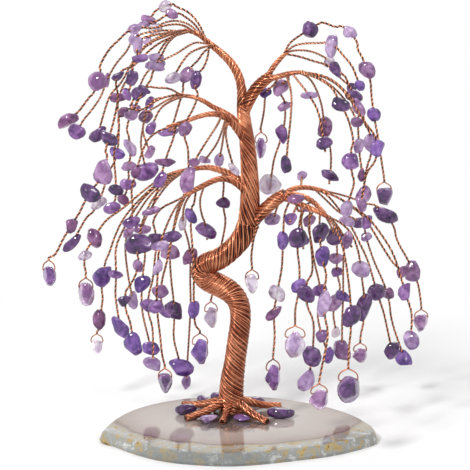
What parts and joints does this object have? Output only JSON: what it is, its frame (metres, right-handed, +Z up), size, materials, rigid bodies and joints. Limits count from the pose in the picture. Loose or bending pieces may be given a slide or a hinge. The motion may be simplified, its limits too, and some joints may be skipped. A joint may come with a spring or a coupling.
{
  "type": "gemstone tree ornament",
  "caption": "Table ornament: a tree of twisted copper wire hung with drilled amethyst chips, rooted on a polished agate slice.",
  "frame": {"origin": "middle of the slice's flat underside", "axes": "+Z up, +X to the right seen from the front, +Y away from the front"},
  "size_m": [0.1414, 0.0918, 0.159],
  "materials": {
    "agate": "polished banded agate",
    "glue": "clear set glue",
    "amethyst": "tumbled and polished stone",
    "copper_wire": "bare twisted copper wire"
  },
  "bodies": {
    "tree": {"agate_slice": "agate", "back_root": "copper_wire", "crown_left_branch": "copper_wire", "crown_left_chips": "amethyst", "crown_left_strands": "copper_wire", "foot_chips": "amethyst", "front_root": "copper_wire", "glue_pad": "glue", "left_back_root": "copper_wire", "left_fan_branch": "copper_wire", "left_fan_chips": "amethyst", "left_fan_strands": "copper_wire", "left_front_root": "copper_wire", "left_limb": "copper_wire", "lower_left_branch": "copper_wire", "lower_left_chips": "amethyst", "lower_left_strands": "copper_wire", "lower_trunk": "copper_wire", "middle_left_branch": "copper_wire", "middle_left_chips": "amethyst", "middle_left_strands": "copper_wire", "right_back_root": "copper_wire", "right_front_branch": "copper_wire", "right_front_chips": "amethyst", "right_front_root": "copper_wire", "right_front_strands": "copper_wire", "right_limb": "copper_wire", "right_lower_branch": "copper_wire", "right_lower_chips": "amethyst", "right_lower_strands": "copper_wire", "right_main_branch": "copper_wire", "right_middle_branch": "copper_wire", "right_middle_chips": "amethyst", "right_middle_strands": "copper_wire", "right_top_branch": "copper_wire", "right_top_chips": "amethyst", "right_top_strands": "copper_wire", "right_upper_branch": "copper_wire", "right_upper_chips": "amethyst", "right_upper_strands": "copper_wire", "upper_left_branch": "copper_wire", "upper_left_chips": "amethyst", "upper_left_strands": "copper_wire", "upper_trunk": "copper_wire"},
    "hanging_chip_1": {"hanging_chip_1": "amethyst"},
    "hanging_chip_2": {"hanging_chip_2": "amethyst"},
    "hanging_chip_3": {"hanging_chip_3": "amethyst"},
    "hanging_chip_4": {"hanging_chip_4": "amethyst"},
    "hanging_chip_5": {"hanging_chip_5": "amethyst"},
    "hanging_chip_6": {"hanging_chip_6": "amethyst"},
    "hanging_chip_7": {"hanging_chip_7": "amethyst"},
    "hanging_chip_8": {"hanging_chip_8": "amethyst"},
    "hanging_chip_9": {"hanging_chip_9": "amethyst"},
    "hanging_chip_10": {"hanging_chip_10": "amethyst"},
    "hanging_chip_11": {"hanging_chip_11": "amethyst"},
    "hanging_chip_12": {"hanging_chip_12": "amethyst"},
    "hanging_chip_13": {"hanging_chip_13": "amethyst"},
    "hanging_chip_14": {"hanging_chip_14": "amethyst"},
    "hanging_chip_15": {"hanging_chip_15": "amethyst"}
  },
  "joints": [
    {"name": "hanging_chip_1_swing", "type": "hinge", "parent": "tree", "child": "hanging_chip_1", "pos_m": [-0.06712, -0.02845, 0.07151], "axis": [1, 0, 0], "range_deg": [-20, 20]},
    {"name": "hanging_chip_2_swing", "type": "hinge", "parent": "tree", "child": "hanging_chip_2", "pos_m": [-0.05497, -0.0142, 0.06065], "axis": [1, 0, 0], "range_deg": [-20, 20]},
    {"name": "hanging_chip_3_swing", "type": "hinge", "parent": "tree", "child": "hanging_chip_3", "pos_m": [-0.05404, 0.0368, 0.02469], "axis": [1, 0, 0], "range_deg": [-20, 20]},
    {"name": "hanging_chip_4_swing", "type": "hinge", "parent": "tree", "child": "hanging_chip_4", "pos_m": [-0.01042, 0.0278, 0.03954], "axis": [1, 0, 0], "range_deg": [-20, 20]},
    {"name": "hanging_chip_5_swing", "type": "hinge", "parent": "tree", "child": "hanging_chip_5", "pos_m": [-0.02633, -0.0307, 0.03213], "axis": [1, 0, 0], "range_deg": [-20, 20]},
    {"name": "hanging_chip_6_swing", "type": "hinge", "parent": "tree", "child": "hanging_chip_6", "pos_m": [-0.01415, -0.00595, 0.03714], "axis": [1, 0, 0], "range_deg": [-20, 20]},
    {"name": "hanging_chip_7_swing", "type": "hinge", "parent": "tree", "child": "hanging_chip_7", "pos_m": [0.053, 0.0083, 0.09093], "axis": [1, 0, 0], "range_deg": [-20, 20]},
    {"name": "hanging_chip_8_swing", "type": "hinge", "parent": "tree", "child": "hanging_chip_8", "pos_m": [0.00831, 0.03305, 0.1037], "axis": [1, 0, 0], "range_deg": [-20, 20]},
    {"name": "hanging_chip_9_swing", "type": "hinge", "parent": "tree", "child": "hanging_chip_9", "pos_m": [0.06988, 0.0428, 0.03233], "axis": [1, 0, 0], "range_deg": [-20, 20]},
    {"name": "hanging_chip_10_swing", "type": "hinge", "parent": "tree", "child": "hanging_chip_10", "pos_m": [0.00481, -0.00295, 0.06104], "axis": [1, 0, 0], "range_deg": [-20, 20]},
    {"name": "hanging_chip_11_swing", "type": "hinge", "parent": "tree", "child": "hanging_chip_11", "pos_m": [0.0449, 0.0068, 0.0305], "axis": [1, 0, 0], "range_deg": [-20, 20]},
    {"name": "hanging_chip_12_swing", "type": "hinge", "parent": "tree", "child": "hanging_chip_12", "pos_m": [0.03896, -0.02995, 0.03116], "axis": [1, 0, 0], "range_deg": [-20, 20]},
    {"name": "hanging_chip_13_swing", "type": "hinge", "parent": "tree", "child": "hanging_chip_13", "pos_m": [0.02869, -0.02845, 0.02565], "axis": [1, 0, 0], "range_deg": [-20, 20]},
    {"name": "hanging_chip_14_swing", "type": "hinge", "parent": "tree", "child": "hanging_chip_14", "pos_m": [0.02053, -0.0052, 0.03968], "axis": [1, 0, 0], "range_deg": [-20, 20]},
    {"name": "hanging_chip_15_swing", "type": "hinge", "parent": "tree", "child": "hanging_chip_15", "pos_m": [0.01271, 0.00605, 0.02336], "axis": [1, 0, 0], "range_deg": [-20, 20]}
  ]
}
